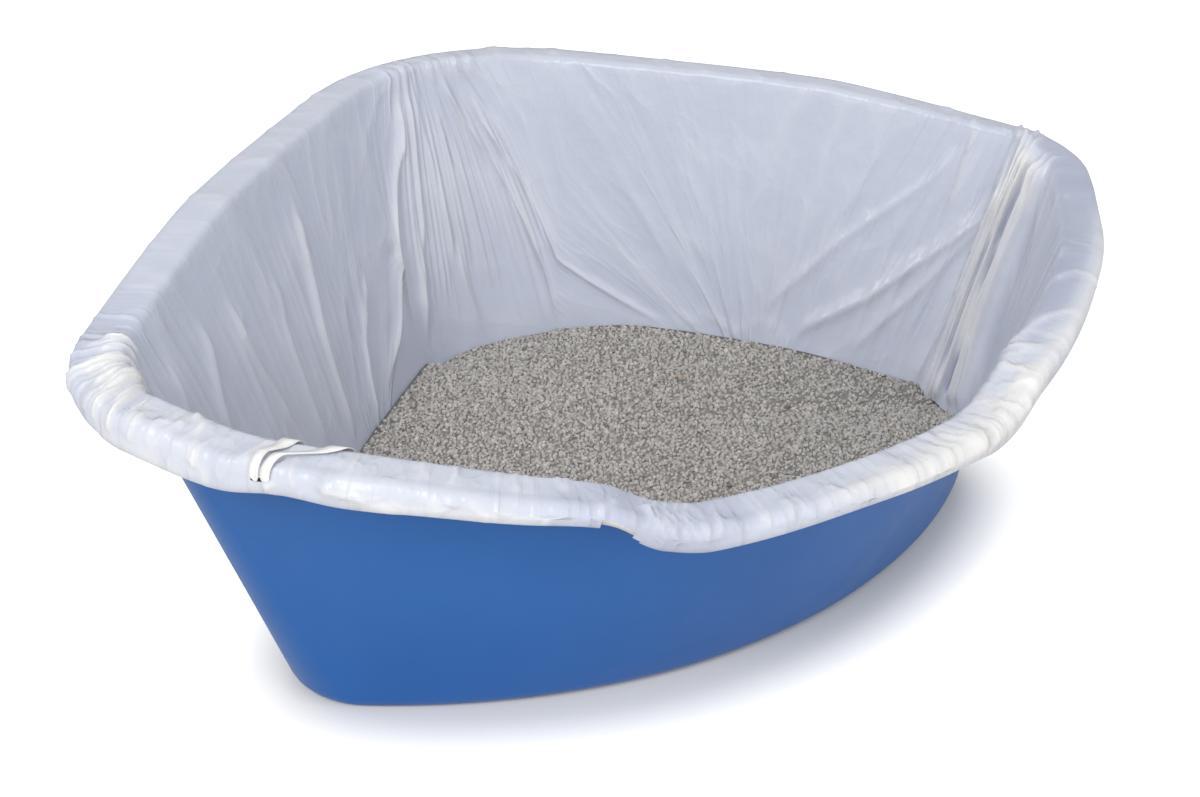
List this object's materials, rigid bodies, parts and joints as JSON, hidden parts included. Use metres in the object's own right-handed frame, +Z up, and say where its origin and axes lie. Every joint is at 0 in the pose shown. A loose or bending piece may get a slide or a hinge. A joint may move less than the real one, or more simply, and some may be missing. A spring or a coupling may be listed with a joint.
{
  "type": "drawstring litter box liner",
  "caption": "White drawstring film liner laid in a blue high-back corner litter pan, its hem folded over the rim and its floor covered by clay litter.",
  "frame": {"origin": "on the flat underside of the pan's base, on the plane of symmetry, at the pan's middle from front corner to front corner", "axes": "+Z up from the base to the rim; +Y to the apex at the back; -Y to the low entry; +X to the right-hand front corner"},
  "size_m": [0.6648, 0.505, 0.2569],
  "materials": {
    "pan_plastic": "blue moulded plastic, satin gloss",
    "liner_film": "thin white polyethylene film, slightly translucent, soft sheen",
    "drawstring_tape": "opaque white flat plastic tape",
    "clay_litter": "grey clay granules, dry and dull"
  },
  "bodies": {
    "root": {"litter_pan": "pan_plastic", "liner_film": "liner_film", "drawstring": "drawstring_tape", "litter_bed": "clay_litter"}
  },
  "joints": []
}
